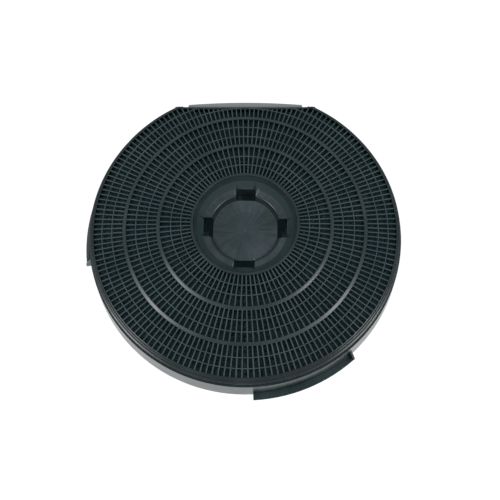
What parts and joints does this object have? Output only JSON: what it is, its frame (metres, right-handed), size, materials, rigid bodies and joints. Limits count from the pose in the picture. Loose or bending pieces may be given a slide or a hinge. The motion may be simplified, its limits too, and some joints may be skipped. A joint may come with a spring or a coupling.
{
  "type": "cooker hood carbon filter",
  "caption": "Flat round carbon filter cassette with one flat side, a grille of radial bars, a dished hub with a bayonet socket behind it, and locking ledges round its rear edge.",
  "frame": {"origin": "on the hub's axis, on the plane of the rear face that the cassette lies on", "axes": "+Z along the hub's axis, out of the front grille; +Y towards the flat side; +X to the right when the grille is seen with the flat side up"},
  "size_m": [0.2441, 0.2314, 0.029],
  "materials": {
    "front_shell": "injection moulded, satin black",
    "rear_shell": "injection moulded, satin black",
    "carbon": "granulated activated carbon, dull black"
  },
  "bodies": {
    "root": {"front_grille": "front_shell", "rear_tray": "rear_shell", "carbon_bed": "carbon"}
  },
  "joints": []
}
